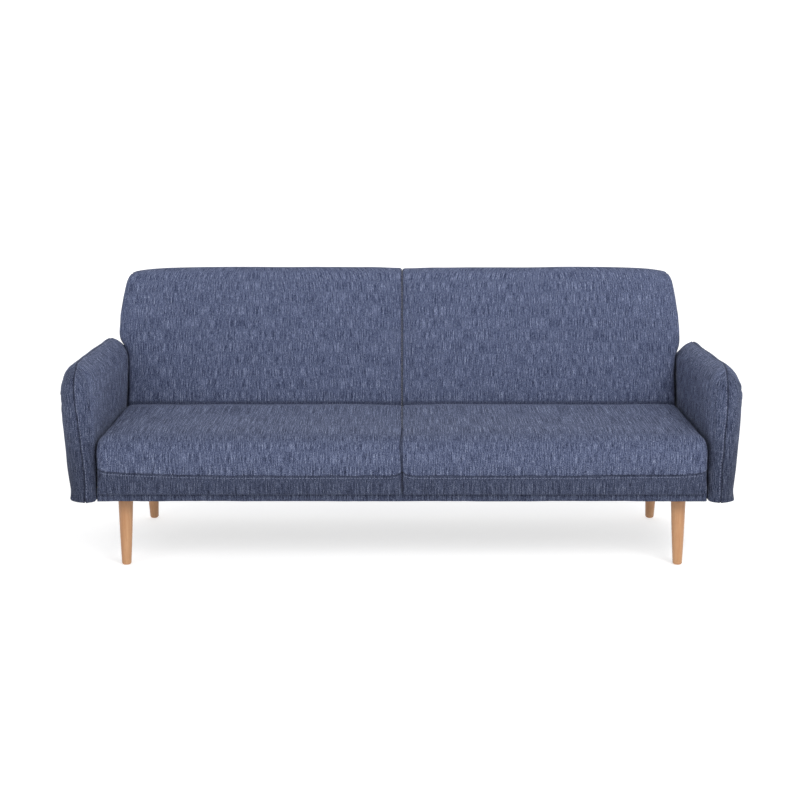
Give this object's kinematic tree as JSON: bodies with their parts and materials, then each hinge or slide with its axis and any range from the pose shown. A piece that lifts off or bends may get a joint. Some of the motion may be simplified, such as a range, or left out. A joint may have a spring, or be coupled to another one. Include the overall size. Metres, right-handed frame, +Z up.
{
  "type": "futon sofa bed",
  "caption": "Click-clack futon sofa bed: padded split seat and split reclining back, pillow side arms, and round tapered splayed wooden legs; each back half folds flat.",
  "frame": {"origin": "on the floor below the middle of the overall footprint, with the backs upright", "axes": "+X along the width, to the right as seen from the front; +Y to the rear, so the front faces -Y; +Z up from the floor"},
  "size_m": [1.984, 0.7851, 0.8262],
  "materials": {
    "denim_fabric": "matte",
    "foam": "matte",
    "dust_cloth": "matte",
    "webbing": "matte",
    "beech": "satin",
    "pine": "matte",
    "plywood": "matte",
    "steel": "satin",
    "spring_steel": "satin"
  },
  "bodies": {
    "base": {"front_rail": "pine", "rear_rail": "pine", "spring_rails": "pine", "side_rail_left": "pine", "side_rail_right": "pine", "centre_rail": "pine", "corner_blocks": "pine", "front_rail_cover": "denim_fabric", "rear_rail_cover": "denim_fabric", "dust_cover": "dust_cloth", "seat_springs_left": "spring_steel", "seat_springs_right": "spring_steel", "spring_clips": "steel", "seat_foam_left": "foam", "seat_foam_right": "foam", "seat_cover_left": "denim_fabric", "seat_cover_right": "denim_fabric", "arm_frame_left": "pine", "arm_frame_right": "pine", "arm_foam_left": "foam", "arm_foam_right": "foam", "arm_cover_inner_left": "denim_fabric", "arm_cover_inner_right": "denim_fabric", "arm_cover_outer_left": "denim_fabric", "arm_cover_outer_right": "denim_fabric", "arm_bolts": "steel", "leg_front_left": "beech", "leg_front_right": "beech", "leg_rear_left": "beech", "leg_rear_right": "beech", "leg_bolts": "steel", "leg_nuts": "steel", "hinge_base_plate_outer_left": "steel", "hinge_base_plate_inner_left": "steel", "hinge_base_plate_inner_right": "steel", "hinge_base_plate_outer_right": "steel", "hinge_pins": "steel", "hinge_base_screws": "steel"},
    "back_left": {"back_rails_left": "plywood", "back_stiles_left": "plywood", "back_webbing_left": "webbing", "back_foam_left": "foam", "back_cover_left": "denim_fabric", "back_rear_panel_left": "denim_fabric", "hinge_back_plate_outer_left": "steel", "hinge_back_plate_inner_left": "steel", "hinge_back_screws_left": "steel"},
    "back_right": {"back_rails_right": "plywood", "back_stiles_right": "plywood", "back_webbing_right": "webbing", "back_foam_right": "foam", "back_cover_right": "denim_fabric", "back_rear_panel_right": "denim_fabric", "hinge_back_plate_outer_right": "steel", "hinge_back_plate_inner_right": "steel", "hinge_back_screws_right": "steel"}
  },
  "joints": [
    {"name": "back_left_recline", "type": "hinge", "parent": "base", "child": "back_left", "pos_m": [-0.4325, 0.19627, 0.347], "axis": [1, 0, 0], "range_deg": [-75, 10]},
    {"name": "back_right_recline", "type": "hinge", "parent": "base", "child": "back_right", "pos_m": [0.4325, 0.19627, 0.347], "axis": [1, 0, 0], "range_deg": [-75, 10]}
  ]
}
